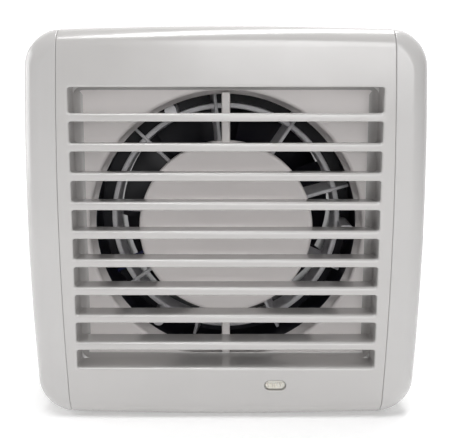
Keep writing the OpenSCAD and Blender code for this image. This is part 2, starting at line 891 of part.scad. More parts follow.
wall_base();
air_chamber();
duct_spigot();
vane_ring();
motor_cup();
carrier_screws();
stator_core();
coil_bobbin();
stator_coil();
shading_rings();
bracket_front();
bracket_rear();
bearing_front();
bearing_rear();
motor_screws();
rubber_mounts();
terminal_block();
terminal_contacts();
terminal_screws();
cord_clamp();
cord_clamp_screws();
cable_grommet();
motor_leads();
lamp_leads();
lamp_holder();
indicator_lamp();
shaft();
rotor_core();
rotor_end_rings();
thrust_washers();
impeller_hub();
impeller_blades();
impeller_bush();
impeller_clip();
cover_surround();
grille_panel();
baffle_plate();
baffle_disc();
indicator_lens();
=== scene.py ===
"""Looks of a wall-mounted axial extract fan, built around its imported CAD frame.

Shapes are worked out in millimetres in the row frame (+X right, +Y into the wall, +Z up) and
scaled to metres when they become meshes.
"""
import json
import math

import bmesh
import bpy
from mathutils import Matrix, Vector, geometry


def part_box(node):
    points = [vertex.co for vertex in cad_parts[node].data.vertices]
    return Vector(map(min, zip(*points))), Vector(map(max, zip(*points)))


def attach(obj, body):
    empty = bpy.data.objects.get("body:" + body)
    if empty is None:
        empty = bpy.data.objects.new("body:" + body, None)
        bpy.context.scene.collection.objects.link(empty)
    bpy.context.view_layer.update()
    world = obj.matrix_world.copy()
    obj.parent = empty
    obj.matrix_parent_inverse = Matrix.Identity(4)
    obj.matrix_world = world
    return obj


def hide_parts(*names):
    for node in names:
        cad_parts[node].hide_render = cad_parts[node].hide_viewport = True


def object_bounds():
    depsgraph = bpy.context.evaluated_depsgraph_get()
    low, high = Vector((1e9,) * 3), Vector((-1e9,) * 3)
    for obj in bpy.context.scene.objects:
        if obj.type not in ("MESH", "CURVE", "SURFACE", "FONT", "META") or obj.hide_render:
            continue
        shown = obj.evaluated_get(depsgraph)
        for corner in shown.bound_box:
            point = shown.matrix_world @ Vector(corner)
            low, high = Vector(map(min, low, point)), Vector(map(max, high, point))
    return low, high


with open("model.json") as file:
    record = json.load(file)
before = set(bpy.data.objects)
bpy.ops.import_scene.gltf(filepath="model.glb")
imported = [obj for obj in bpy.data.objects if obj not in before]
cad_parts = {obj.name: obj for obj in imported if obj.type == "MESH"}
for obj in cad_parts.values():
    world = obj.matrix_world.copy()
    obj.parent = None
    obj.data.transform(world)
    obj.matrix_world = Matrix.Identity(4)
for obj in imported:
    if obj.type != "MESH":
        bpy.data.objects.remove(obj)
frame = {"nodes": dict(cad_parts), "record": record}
cad_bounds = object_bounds()

MM = 0.001
SHARP_ANGLE = 32.0


def box_mm(*nodes):
    """Lowest and highest corner of several CAD nodes together, in millimetres."""
    lows, highs = zip(*(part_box(node) for node in nodes))
    low = Vector(min(corner[axis] for corner in lows) for axis in range(3))
    high = Vector(max(corner[axis] for corner in highs) for axis in range(3))
    return low / MM, high / MM


# ---- Sizes read from the frame --------------------------------------------

COVER_LOW, COVER_HIGH = box_mm("cover_surround")
PANEL_LOW, PANEL_HIGH = box_mm("grille_panel")
BAFFLE_LOW, BAFFLE_HIGH = box_mm("baffle_plate")
DISC_BACK_Y = box_mm("baffle_disc")[1].y
LENS_LOW, LENS_HIGH = box_mm("indicator_lens")
VANES_FRONT_Y = box_mm("vane_ring")[0].y
CUP_LOW, CUP_HIGH = box_mm("motor_cup")
HUB_LOW, HUB_HIGH = box_mm("impeller_hub")
BLADES_LOW, BLADES_HIGH = box_mm("impeller_blades")
CATCH_FRONT_Y = box_mm("wall_base")[0].y
CHAMBER_OUTER_R = box_mm("air_chamber")[1].x

COVER_W = COVER_HIGH.x - COVER_LOW.x
COVER_H = PANEL_HIGH.z - PANEL_LOW.z
CENTRE_Z = (PANEL_HIGH.z + PANEL_LOW.z) / 2
FRONT_Y = PANEL_LOW.y
COVER_BACK_Y = COVER_HIGH.y
PLATE_Y = PANEL_HIGH.y
PANEL_W = PANEL_HIGH.x - PANEL_LOW.x

# ---- Sizes of the cover's mouldings, in millimetres -------------------------

WALL = 2.0
CORNER_R = 13.0
EDGE_R = 7.0
SIDE_BOW = 2.4
TOP_BOW = 1.7
JOINT_GAP = 0.12
SKIN_GAP = 0.02
LIP_HALF = 3
WRAP_Y = FRONT_Y + 10.0
INNER_Y = FRONT_Y + WALL
RELEASE_W = 9.5
RELEASE_Y = FRONT_Y + EDGE_R + 1.05
RELEASE_HALF = 0.95

BLADES = 9
PITCH = 11.0
NOSE = 3.1
TAIL = 1.7
BLADE_DEPTH = 12.0
SLOT_W = 115.6
FIELD_TOP = 54.9
FIELD_BOTTOM = -52.8
FRAME_T = 1.3
COVE_R = 3.0

LENS_CENTRE = ((LENS_LOW.x + LENS_HIGH.x) / 2, (LENS_LOW.z + LENS_HIGH.z) / 2)
LENS_HALF_W = 3.85
LENS_HALF_H = 1.65
LENS_GAP = 0.4
LENS_RIBS = 7
RIB_PITCH = 0.9
RIB_HALF_W = 0.26
RIB_RISE = 0.75

PLATE_T = 2.0
APERTURE_R = 53.7
COLLAR_R = 52.0
COLLAR_T = 1.4
DISC_R = 34.3
DISH = 1.2
STRUT_W = 3.3

# ---- Sizes of the carrier and fan wheel, in millimetres and degrees ---------

VANE_COUNT = 9
VANE_START = 16.0
VANE_T = 1.5
VANE_TILT = 8.0
RING_R = 48.2
RING_T = 2.6
CUP_R = 32.0
CUP_T = 1.5
CHAMBER_T = 2.5
LUG_ANGLES = (116, 236, 356)
LUG_R = 50.7
LUG_BOSS_R = 2.3
LUG_BACK_Y = -7.0
FAN_BLADES = 7
BLADE_HALF_ANGLE = 29.5


# ---- Mesh building ----------------------------------------------------------

class Shell:
    """Points and faces of one closed surface, in millimetres."""

    def __init__(self):
        self.points = []
        self.faces = []
        self.bevels = []

    def row(self, points):
        """Adds points and gives their indices."""
        first = len(self.points)
        self.points.extend(Vector(point) for point in points)
        return list(range(first, len(self.points)))

    def strip(self, a, b, closed=False):
        """Quads between two rows of equal length."""
        count = len(a) if closed else len(a) - 1
        for i in range(count):
            j = (i + 1) % len(a)
            self.faces.append((a[i], a[j], b[j], b[i]))

    def loft(self, rows, closed=True):
        """Quads between each row and the next."""
        for a, b in zip(rows, rows[1:]):
            self.strip(a, b, closed)

    def cap(self, row):
        """One face across a closed row."""
        self.faces.append(tuple(row))

    def fill(self, outer, holes):
        """Flat face in the X-Z plane with holes in it."""
        loops = [outer, *holes]
        flat = [[Vector((self.points[i].x, self.points[i].z, 0)) for i in loop] for loop in loops]
        order = [i for loop in loops for i in loop]
        for triangle in geometry.tessellate_polygon(flat):
            self.faces.append(tuple(order[i] for i in triangle))

    def bevel(self, row, closed=False):
        """Marks the edges along a row for the bevel modifier."""
        self.bevels.extend(frozenset(pair) for pair in zip(row, row[1:]))
        if closed:
            self.bevels.append(frozenset((row[-1], row[0])))


def piece(name, shells, body, material, nodes, bevel=0.0):
    """Mesh object from shells, riding on a CAD body in place of the nodes it stands for."""
    points = []
    faces = []
    bevels = set()
    for shell in shells:
        first = len(points)
        points += [point * MM for point in shell.points]
        faces += [tuple(first + i for i in face) for face in shell.faces]
        bevels |= {frozenset(first + i for i in pair) for pair in shell.bevels}
    mesh = bpy.data.meshes.new(name)
    mesh.from_pydata(points, [], faces)
    recalculate_normals(mesh)
    mesh.shade_smooth()
    mesh.set_sharp_from_angle(angle=math.radians(SHARP_ANGLE))
    if bevels:
        weights = mesh.attributes.new("bevel_weight_edge", "FLOAT", "EDGE")
        weights.data.foreach_set("value", [float(frozenset(edge.vertices) in bevels) for edge in mesh.edges])
    mesh.materials.append(material)
    made = bpy.data.objects.new(name, mesh)
    bpy.context.scene.collection.objects.link(made)
    if bevel:
        round_edges(made, bevel, "WEIGHT")
    weigh_normals(made)
    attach(made, body)
    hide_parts(*nodes)


def recalculate_normals(mesh):
    """Turns every face of the closed surfaces outward."""
    surface = bmesh.new()
    surface.from_mesh(mesh)
    bmesh.ops.recalc_face_normals(surface, faces=surface.faces)
    surface.to_mesh(mesh)
    surface.free()


def round_edges(target, width, limit):
    """Bevel modifier of a width in millimetres, on weighted edges or on all sharp ones."""
    modifier = target.modifiers.new("RoundEdges", "BEVEL")
    modifier.width = width * MM
    modifier.segments = 3
    modifier.limit_method = limit
    modifier.angle_limit = math.radians(40)
    modifier.miter_outer = "MITER_ARC"
    modifier.harden_normals = False
    modifier.use_clamp_overlap = True


def weigh_normals(target):
    """Keeps large flat faces shading flat beside small rounded ones."""
    modifier = target.modifiers.new("FlatFaces", "WEIGHTED_NORMAL")
    modifier.keep_sharp = True
    modifier.weight = 80


def linspace(a, b, count):
    """Evenly spaced values from a to b, both ends included."""
    return [a + (b - a) * i / (count - 1) for i in range(count)]


def lathe(profile, steps=160):
    """Closed profile of (radius, y) points turned about the duct axis."""
    shell = Shell()
    rows = [shell.row(Vector((r * math.cos(t), y, r * math.sin(t)))
                      for t in (2 * math.pi * i / steps for i in range(steps)))
            for r, y in profile]
    shell.loft([*rows, rows[0]])
    return shell


def fillet(corner, before, after, r, steps=5):
    """Arc of radius r that rounds a profile corner between two neighbours."""
    corner, before, after = Vector(corner), Vector(before), Vector(after)
    u = (before - corner).normalized()
    v = (after - corner).normalized()
    half = math.acos(max(-1.0, min(1.0, u.dot(v)))) / 2
    r = min(r, 0.48 * min((before - corner).length, (after - corner).length) * math.tan(half))
    centre = corner + (u + v).normalized() * (r / math.sin(half))
    start = corner + u * (r / math.tan(half)) - centre
    end = corner + v * (r / math.tan(half)) - centre
    sweep = math.pi - 2 * half
    arc = []
    for i in range(steps + 1):
        t = i / steps
        a, b = math.sin((1 - t) * sweep), math.sin(t * sweep)
        arc.append(centre + (start * a + end * b) / math.sin(sweep))
    return arc


def rounded(profile, radii, steps=5):
    """Closed profile with each corner rounded; radius 0 leaves a corner sharp."""
    smooth = []
    for i, corner in enumerate(profile):
        r = radii[i] if isinstance(radii, (list, tuple)) else radii
        if r:
            smooth += fillet(corner, profile[i - 1], profile[(i + 1) % len(profile)], r, steps)
        else:
            smooth.append(Vector(corner))
    return smooth


def rotated_about_axis(points, degrees):
    """Points turned anticlockwise, as seen from the front, about the duct axis."""
    turn = Matrix.Rotation(math.radians(-degrees), 3, "Y")
    return [turn @ Vector(point) for point in points]


# ---- Cover outline ----------------------------------------------------------

def bowed(x, z):
    """Point of the cover's outline, from its centre, once the sides bow outward."""
    return (x * (1 - 2 * SIDE_BOW / COVER_W * (2 * z / COVER_H) ** 2),
            z * (1 - 2 * TOP_BOW / COVER_H * (2 * x / COVER_W) ** 2))


def joint_x(z, half):
    """Distance of a bowed joint line from the centre plane."""
    return half * (1 - 2 * SIDE_BOW / COVER_W * (2 * z / COVER_H) ** 2)


def edge_sections(inset, front, radius, steps=10):
    """(cut, y) along the rounded front edge, from the flat front to the straight side."""
    sections = []
    for i in range(steps + 1):
        a = math.radians(90 * i / steps)
        sections.append((inset + radius * (1 - math.sin(a)), front + radius * (1 - math.cos(a))))
    return sections


def half_outline(cut):
    """Right half of the cover's outline, top centre to bottom centre, as dense points."""
    w = COVER_W / 2 - cut
    h = COVER_H / 2 - cut
    r = CORNER_R - cut / 2
    points = [(x, h) for x in linspace(0, w - r, 60)]
    points += [(w - r + r * math.sin(t), h - r + r * math.cos(t))
               for t in linspace(0, math.pi / 2, 40)[1:]]
    points += [(w, z) for z in linspace(h - r, -(h - r), 120)[1:]]
    points += [(w - r + r * math.cos(t), -(h - r) - r * math.sin(t))
               for t in linspace(0, math.pi / 2, 40)[1:]]
    points += [(x, -h) for x in linspace(w - r, 0, 60)[1:]]
    return [bowed(x, z) for x, z in points]


def resampled(path, count):
    """Points evenly spaced along a path, both ends included."""
    lengths = [0.0]
    for a, b in zip(path, path[1:]):
        lengths.append(lengths[-1] + math.dist(a, b))
    even = []
    k = 0
    for target in linspace(0, lengths[-1], count):
        while k < len(path) - 2 and lengths[k + 1] < target:
            k += 1
        t = (target - lengths[k]) / (lengths[k + 1] - lengths[k])
        even.append(tuple(a + (b - a) * t for a, b in zip(path[k], path[k + 1])))
    return even


def split_outline(cut, half_joint, cheek_count, middle_count):
    """Outline at one cut: right cheek between its joint lines, then the right halves of top and bottom."""
    path = half_outline(cut)
    beyond = [i for i, (x, z) in enumerate(path) if x > joint_x(z, half_joint)]
    first, last = beyond[0], beyond[-1]

    def crossing(inside, outside):
        gap_in = joint_x(inside[1], half_joint) - inside[0]
        gap_out = outside[0] - joint_x(outside[1], half_joint)
        t = gap_in / (gap_in + gap_out)
        return tuple(a + (b - a) * t for a, b in zip(inside, outside))

    top = crossing(path[first - 1], path[first])
    low = crossing(path[last + 1], path[last])
    cheek = resampled([top, *path[first:last + 1], low], cheek_count)
    top_half = resampled([*path[:first], top], middle_count)
    low_half = resampled([low, *path[last + 1:]], middle_count)
    return cheek, top_half, low_half


# ---- Cover pieces -----------------------------------------------------------

def cover_surround_shell():
    """Two cheeks with rounded front edges, and the four side walls behind the joint."""
    shell = Shell()
    half_joint = PANEL_W / 2 + JOINT_GAP
    cheek_count = 150
    middle_count = 24
    wrap = WRAP_Y + JOINT_GAP
    back_rows_y = [-36.0, -24.0, -12.0, COVER_BACK_Y]

    def place(points, side, y):
        return [(side * x, y, CENTRE_Z + z) for x, z in points]

    def skin(inset, front, radius):
        """Rows of both cheeks, the closed rows behind them and the front joint lines."""
        sections = edge_sections(inset, front, radius)
        cheeks = {}
        for side in (1, -1):
            cheeks[side] = []
            for cut, y in [*sections, (inset, wrap)]:
                cheek = split_outline(cut, half_joint, cheek_count, middle_count)[0]
                cheeks[side].append(shell.row(place(cheek, side, y)))
            shell.loft(cheeks[side], closed=False)
        _, top_half, low_half = split_outline(inset, half_joint, cheek_count, middle_count)
        low_row = shell.row(place(low_half[1:] + [(-x, z) for x, z in low_half[-2:0:-1]], 1, wrap))
        top_row = shell.row(place([(-x, z) for x, z in top_half[-2:0:-1]] + top_half[:-1], 1, wrap))
        ring = [*cheeks[1][-1], *low_row, *reversed(cheeks[-1][-1]), *top_row]
        rings = [ring]
        for y in back_rows_y:
            rings.append(shell.row((shell.points[i].x, y, shell.points[i].z) for i in ring))
        shell.loft(rings)
        fronts = {}
        for side in (1, -1):
            row = cheeks[side][0]
            top_z = shell.points[row[0]].z - CENTRE_Z
            low_z = shell.points[row[-1]].z - CENTRE_Z
            fronts[side] = shell.row((side * joint_x(z, half_joint), front, CENTRE_Z + z)
                                     for z in linspace(low_z, top_z, 60)[1:-1])
            shell.cap([*row, *fronts[side]])
        return cheeks, rings, fronts, low_row, top_row

    outer = skin(0.0, FRONT_Y, EDGE_R)
    inner = skin(WALL, INNER_Y, EDGE_R - WALL)
    for side in (1, -1):
        lines = []
        for cheeks, _, fronts, _, _ in (outer, inner):
            rows = cheeks[side]
            lines.append([*(row[-1] for row in reversed(rows)), *fronts[side], *(row[0] for row in rows)])
        shell.strip(lines[0], lines[1])
        shell.bevel(lines[0])
    for part, first_side, pick in ((3, 1, -1), (4, -1, 0)):
        edges = []
        for skinned in (outer, inner):
            cheeks = skinned[0]
            edges.append([cheeks[first_side][-1][pick], *skinned[part], cheeks[-first_side][-1][pick]])
        shell.strip(*edges)
        shell.bevel(edges[0])
    shell.strip(outer[1][-1], inner[1][-1], closed=True)
    shell.bevel(outer[1][-1], closed=True)
    return shell


def block_shell(low, high):
    """Closed box between two corners with every edge marked for the bevel."""
    shell = Shell()
    corners = [(low[0], low[2]), (high[0], low[2]), (high[0], high[2]), (low[0], high[2])]
    front = shell.row((x, low[1], z) for x, z in corners)
    back = shell.row((x, high[1], z) for x, z in corners)
    shell.strip(front, back, closed=True)
    shell.cap(front)
    shell.cap(back)
    shell.bevel(front, closed=True)
    shell.bevel(back, closed=True)
    return shell


def joint_lips():
    """Strips behind the joint lines that the central panel rests on."""
    inner = PANEL_W / 2 - LIP_HALF
    outer = PANEL_W / 2 + LIP_HALF
    tall = COVER_H / 2 - 2 * EDGE_R
    return [block_shell((min(s * inner, s * outer), INNER_Y + SKIN_GAP, CENTRE_Z - tall),
                        (max(s * inner, s * outer), INNER_Y + 1.2, CENTRE_Z + tall)) for s in (1, -1)]


def rounded_loop(low, high, corner, offset, steps=5):
    """Rounded rectangle of (x, z, outward normal), grown by offset(normal)."""
    loop = []
    centre = ((low[0] + high[0]) / 2, (low[1] + high[1]) / 2)
    half = ((high[0] - low[0]) / 2, (high[1] - low[1]) / 2)
    side_steps = (24, 3)
    arc_centres = [(centre[0] + sx * (half[0] - corner), centre[1] + sz * (half[1] - corner))
                   for sx, sz in ((1, 1), (-1, 1), (-1, -1), (1, -1))]
    for quarter in range(4):
        cx, cz = arc_centres[quarter]
        for t in linspace(quarter * math.pi / 2, (quarter + 1) * math.pi / 2, steps + 1):
            normal = (math.cos(t), math.sin(t))
            grow = corner + offset(normal)
            loop.append((cx + grow * normal[0], cz + grow * normal[1], normal))
        nx, nz = arc_centres[(quarter + 1) % 4]
        for u in linspace(0, 1, side_steps[quarter % 2] + 1)[1:-1]:
            loop.append((cx + (nx - cx) * u + grow * normal[0],
                         cz + (nz - cz) * u + grow * normal[1], normal))
    return loop


def slot_tunnel(shell, low_z, high_z, taper_low, taper_high):
    """One slot through the grille: soft front lip, walls that taper between the blades."""
    corner = 0.9
    low = (-SLOT_W / 2, low_z)
    high = (SLOT_W / 2, high_z)

    def lip(normal):
        """Radius of the lip, largest along the slot's lower edge."""
        below = max(0.0, -normal[1])
        above = max(0.0, normal[1])
        return 0.7 + 0.35 * below - 0.1 * above

    rows = []
    for t in linspace(0, math.pi / 2, 6):
        loop = rounded_loop(low, high, corner, lambda n: lip(n) * (1 - math.sin(t)))
        rows.append(shell.row((x, FRONT_Y + lip(n) * (1 - math.cos(t)), z) for x, z, n in loop))
    for depth in (3.0, 7.0, BLADE_DEPTH):
        share = depth / BLADE_DEPTH
        loop = rounded_loop((low[0], low[1] - share * taper_low), (high[0], high[1] + share * taper_high),
                            corner, lambda n: 0.0)
        rows.append(shell.row((x, FRONT_Y + depth, z) for x, z, _ in loop))
    shell.loft(rows)
    return rows[0], rows[-1]


def slot_heights():
    """Lower and upper edge of each slot and how much each tapers away behind the lip."""
    lean = (NOSE - TAIL) / 2
    edges = []
    for k in range(BLADES + 1):
        below = (k - 1 - (BLADES - 1) / 2) * PITCH
        low = below + NOSE / 2 if k > 0 else FIELD_BOTTOM
        high = below + PITCH - NOSE / 2 if k < BLADES else FIELD_TOP
        edges.append((low, high, lean if k > 0 else 0.0, lean if k < BLADES else 0.0))
    return edges


def panel_columns():
    """Shares of the half width at which the panel's wrapped rows have points."""
    inset = 1 - 1.3 / (PANEL_W / 2)
    release = RELEASE_W / PANEL_W
    right = [release, *linspace(release, inset, 18)[1:], 1.0]
    return [-share for share in reversed(right)] + right


def panel_skin(shell, inset, front, radius, columns):
    """Rows of the panel over the bottom, up the front's sides and over the top."""
    wrapped = [(inset, WRAP_Y), (inset, RELEASE_Y + RELEASE_HALF), (inset, RELEASE_Y - RELEASE_HALF)]
    wrapped += reversed(edge_sections(inset, front, radius))
    half = PANEL_W / 2

    def row_at(cut, y, side):
        points = []
        for share in columns:
            z = side * (COVER_H / 2 - cut)
            x = share * joint_x(z, half)
            points.append((x, y, CENTRE_Z + bowed(x, z)[1]))
        return shell.row(points)

    low = [row_at(cut, y, -1) for cut, y in wrapped]
    top = [row_at(cut, y, 1) for cut, y in wrapped]
    middle = []
    low_z = [shell.points[low[-1][k]].z for k in (0, 1, -2, -1)]
    top_z = [shell.points[top[-1][k]].z for k in (0, 1, -2, -1)]
    side_columns = [columns[k] for k in (0, 1, -2, -1)]
    for t in linspace(0, 1, 62)[1:-1]:
        points = []
        for share, a, b in zip(side_columns, low_z, top_z):
            z = a + (b - a) * t
            points.append((share * joint_x(z - CENTRE_Z, half), front, z))
        middle.append(shell.row(points))
    return low, middle, top


def panel_faces(shell, skin, holes):
    """Faces of one skin of the panel, leaving out the release slot in the top."""
    low, middle, top = skin
    shell.loft(low, closed=False)
    release_left = len(top[0]) // 2 - 1
    for k, (a, b) in enumerate(zip(top, top[1:])):
        if k == 1:
            shell.strip(a[:release_left + 1], b[:release_left + 1])
            shell.strip(a[release_left + 1:], b[release_left + 1:])
        else:
            shell.strip(a, b)
    ends = [[low[-1][k] for k in (0, 1, -2, -1)], *middle, [top[-1][k] for k in (0, 1, -2, -1)]]
    for a, b in zip(ends, ends[1:]):
        shell.strip(a[:2], b[:2])
        shell.strip(a[2:], b[2:])
    outline = [*low[-1][1:-1], *(row[2] for row in middle), *reversed(top[-1][1:-1]),
               *(row[1] for row in reversed(middle))]
    shell.fill(outline, holes)
    return [top[1][release_left], top[1][release_left + 1], top[2][release_left + 1], top[2][release_left]]


def stadium_loop(shell, centre, half_w, half_h, y, steps=14):
    """Row around a slot shape with round ends."""
    points = []
    for side in (1, -1):
        start = -math.pi / 2 if side > 0 else math.pi / 2
        for t in linspace(start, start + math.pi, steps):
            points.append((centre[0] + side * (half_w - half_h) + half_h * math.cos(t), y,
                           centre[1] + half_h * math.sin(t)))
    return shell.row(points)


def rectangle_row(shell, low, high, y):
    """Row of the four corners of a rectangle."""
    return shell.row([(low[0], y, low[1]), (high[0], y, low[1]), (high[0], y, high[1]), (low[0], y, high[1])])


def grille_panel_shell():
    """Central panel: ten slots, lens hole, release slot, wrapped top and bottom."""
    shell = Shell()
    columns = panel_columns()
    outer = panel_skin(shell, 0.0, FRONT_Y, EDGE_R, columns)
    inner = panel_skin(shell, WALL, INNER_Y, EDGE_R - WALL, columns)
    tunnels = [slot_tunnel(shell, *edges) for edges in slot_heights()]
    hole_half_w = LENS_HALF_W + LENS_GAP
    hole_half_h = LENS_HALF_H + LENS_GAP
    lens_rows = [stadium_loop(shell, LENS_CENTRE, hole_half_w + grow, hole_half_h + grow, FRONT_Y + depth)
                 for grow, depth in ((0.35, 0.0), (0.1, 0.1), (0.0, 0.35), (0.0, WALL))]
    shell.loft(lens_rows)
    frame_low = (-SLOT_W / 2 - FRAME_T, FIELD_BOTTOM - FRAME_T)
    frame_high = (SLOT_W / 2 + FRAME_T, FIELD_TOP + FRAME_T)
    frame_front = rectangle_row(shell, frame_low, frame_high, INNER_Y)
    frame_back = rectangle_row(shell, frame_low, frame_high, FRONT_Y + BLADE_DEPTH)
    shell.strip(frame_front, frame_back, closed=True)
    shell.fill(frame_back, [rear for _, rear in tunnels])
    outer_release = panel_faces(shell, outer, [front for front, _ in tunnels] + [lens_rows[0]])
    inner_release = panel_faces(shell, inner, [frame_front, lens_rows[-1]])
    shell.strip(outer_release, inner_release, closed=True)
    sides = []
    for low, middle, top in (outer, inner):
        rows = [*low, *middle, *reversed(top)]
        sides.append([[row[k] for row in rows] for k in (0, -1)])
    for k in (0, 1):
        shell.strip(sides[0][k], sides[1][k])
        shell.bevel(sides[0][k])
    for k in (0, 2):
        shell.strip(outer[k][0], inner[k][0])
        shell.bevel(outer[k][0])
    shell.bevel(outer_release, closed=True)
    return shell


def cove_frame_shell():
    """Wall behind the slots' ends that curves inward onto the baffle plate."""
    shell = Shell()
    low = (-SLOT_W / 2, FIELD_BOTTOM)
    high = (SLOT_W / 2, FIELD_TOP)
    start = PLATE_Y - COVE_R
    outer = [shell.row((x, y, z) for x, z, _ in rounded_loop(low, high, 1.0, lambda n: FRAME_T - SKIN_GAP))
             for y in (PLATE_Y - SKIN_GAP, start - 0.4)]
    inner = [shell.row((x, start - 0.4, z) for x, z, _ in rounded_loop(low, high, 1.0, lambda n: 0.3))]
    for t in linspace(0, math.pi / 2, 9):
        def cove(normal):
            """Inward reach: the full cove at the slots' ends, a small one above and below."""
            reach = COVE_R if abs(normal[0]) > 0.7 else 1.2
            return -reach * (1 - math.cos(t))
        inner.append(shell.row((x, start + (COVE_R - SKIN_GAP) * math.sin(t), z)
                               for x, z, _ in rounded_loop(low, high, 3.2, cove)))
    shell.loft([*outer, *inner, outer[0]])
    return shell


def baffle_plate_shell():
    """Plate with a rounded aperture edge that runs into the tapered collar."""
    shell = Shell()
    steps = 180
    back_y = PLATE_Y + PLATE_T
    rim = 1.5
    profile = [(APERTURE_R + rim * (1 - math.sin(t)), PLATE_Y + rim * (1 - math.cos(t)))
               for t in linspace(0, math.pi / 2, 8)]
    profile += [(APERTURE_R - 0.3 * t, PLATE_Y + rim + 1.5 * t) for t in (0.5, 1.0)]
    end = BAFFLE_HIGH.y
    profile += fillet((COLLAR_R, end), profile[-1], (COLLAR_R + COLLAR_T, end), 0.4)
    profile += fillet((COLLAR_R + COLLAR_T, end), (COLLAR_R, end), (APERTURE_R + 2, back_y), 0.4)
    profile += [(APERTURE_R + 1.2, back_y + 0.6), (APERTURE_R + 1.8, back_y)]
    rows = [shell.row((r * math.cos(t), y, r * math.sin(t))
                      for t in (2 * math.pi * i / steps for i in range(steps))) for r, y in profile]
    shell.loft(rows)
    notch_x = 6.0
    lens_x = LENS_CENTRE[0]
    notch_z = LENS_CENTRE[1] + 4.6
    outline = [(BAFFLE_LOW.x, BAFFLE_LOW.z), (lens_x - notch_x, BAFFLE_LOW.z), (lens_x - notch_x, notch_z),
               (lens_x + notch_x, notch_z), (lens_x + notch_x, BAFFLE_LOW.z), (BAFFLE_HIGH.x, BAFFLE_LOW.z),
               (BAFFLE_HIGH.x, BAFFLE_HIGH.z), (BAFFLE_LOW.x, BAFFLE_HIGH.z)]
    front = shell.row((x, PLATE_Y, z) for x, z in outline)
    back = shell.row((x, back_y, z) for x, z in outline)
    shell.fill(front, [rows[0]])
    shell.fill(back, [rows[-1]])
    shell.strip(front, back, closed=True)
    shell.bevel(front, closed=True)
    shell.bevel(back, closed=True)
    return shell


def disc_shell():
    """Dished centre disc with a rounded rim."""
    rim_y = DISC_BACK_Y
    profile = [(0.01, PLATE_Y + DISH)]
    for r in linspace(2.0, DISC_R - 3.0, 12):
        profile.append((r, PLATE_Y + DISH * (1 - (r / (DISC_R - 1.6)) ** 2)))
    profile += [(DISC_R - 1.9, PLATE_Y + 0.07), (DISC_R - 1.2, PLATE_Y + 0.02),
                (DISC_R - 0.6, PLATE_Y + 0.16), (DISC_R - 0.2, PLATE_Y + 0.55),
                (DISC_R, PLATE_Y + 1.2), (DISC_R, rim_y - 0.3),
                (DISC_R - 0.3, rim_y), (DISC_R - 1.3, rim_y), (DISC_R - 1.6, rim_y - 0.3),
                (DISC_R - 1.6, PLATE_Y + 2.6), (DISC_R - 2.2, PLATE_Y + 2.2), (0.01, PLATE_Y + DISH + 2)]
    return lathe(profile, 180)


def strut_shell(side):
    """Rounded bar from the disc's rim to the collar."""
    shell = Shell()
    section = rounded([(-STRUT_W / 2, PLATE_Y + 0.2), (STRUT_W / 2, PLATE_Y + 0.2),
                       (STRUT_W / 2, DISC_BACK_Y), (-STRUT_W / 2, DISC_BACK_Y)], 0.7)
    rows = [shell.row((p.x, p.y, side * z) for p in section)
            for z in linspace(DISC_R - 0.8, APERTURE_R - 1.0, 4)]
    shell.loft(rows)
    shell.cap(rows[0])
    shell.cap(rows[-1])
    return shell


def lens_shells():
    """Oval lens with a soft edge, its flange, and its ribs."""
    flange = 1.1
    flange_y = INNER_Y + 0.05
    face_y = FRONT_Y + 0.8
    body = Shell()
    rows = [stadium_loop(body, LENS_CENTRE, LENS_HALF_W - cut, LENS_HALF_H - cut, y)
            for cut, y in ((0.5, face_y), (0.2, face_y + 0.06), (0.05, face_y + 0.2), (0.0, face_y + 0.5),
                           (0.0, flange_y))]
    rows += [stadium_loop(body, LENS_CENTRE, LENS_HALF_W + flange, LENS_HALF_H + flange, y)
             for y in (flange_y, LENS_HIGH.y)]
    body.loft(rows)
    body.cap(rows[0])
    body.cap(rows[-1])
    ribs = [lens_rib(LENS_CENTRE[0] + (i - (LENS_RIBS - 1) / 2) * RIB_PITCH, face_y + 0.1)
            for i in range(LENS_RIBS)]
    return [body, *ribs]


def lens_rib(x, root_y):
    """Half-round upright rib with tapered ends."""
    rib = Shell()
    tall = LENS_HALF_H - 0.5
    rows = []
    for z, scale in ((-tall, 0.3), (-tall + 0.25, 1.0), (tall - 0.25, 1.0), (tall, 0.3)):
        rows.append(rib.row((x + RIB_HALF_W * scale * math.cos(t), root_y - RIB_RISE * scale * math.sin(t),
                             LENS_CENTRE[1] + z) for t in linspace(0, math.pi, 9)))
    rib.loft(rows)
    rib.cap(rows[0])
    rib.cap(rows[-1])
    return rib


# ---- Carrier and fan wheel --------------------------------------------------

def vane_shell(angle):
    """Tapered vane with a rounded front edge, tilted about its radial line."""
    shell = Shell()
    front = VANES_FRONT_Y
    back = CUP_HIGH.y - 1.2
    mid = (front + back) / 2
    tilt = math.radians(VANE_TILT)
    reach = CHAMBER_OUTER_R - CHAMBER_T - 0.7
    rows = []
    for r in linspace(CUP_R - 0.4, reach, 8):
        share = (r - CUP_R) / (reach - CUP_R)
        half_t = (VANE_T / 2) * (1.08 - 0.16 * share)
        section = rounded([(-half_t, front), (half_t, front), (half_t * 0.8, back), (-half_t * 0.8, back)],
                          [0.6, 0.6, 0.25, 0.25], 4)
        points = []
        for p in section:
            points.append((r, p.y, p.x - (mid - p.y) * math.tan(tilt)))
        rows.append(shell.row(rotated_about_axis(points, angle)))
    shell.loft(rows)
    shell.cap(rows[0])
    shell.cap(rows[-1])
    return shell


def vane_ring_shells():
    """Rounded ring, nine vanes and three screw lugs."""
    front = VANES_FRONT_Y + 0.6
    back = CUP_HIGH.y - 1.6
    inner = RING_R - RING_T
    ring = lathe(rounded([(inner + 0.5, front), (RING_R, front), (RING_R, back), (inner, back)],
                         [0.7, 0.5, 0.3, 0.3]))
    vanes = [vane_shell(VANE_START + i * 360 / VANE_COUNT) for i in range(VANE_COUNT)]
    lugs = [lug_shell(angle) for angle in LUG_ANGLES]
    return [ring, *vanes, *lugs]


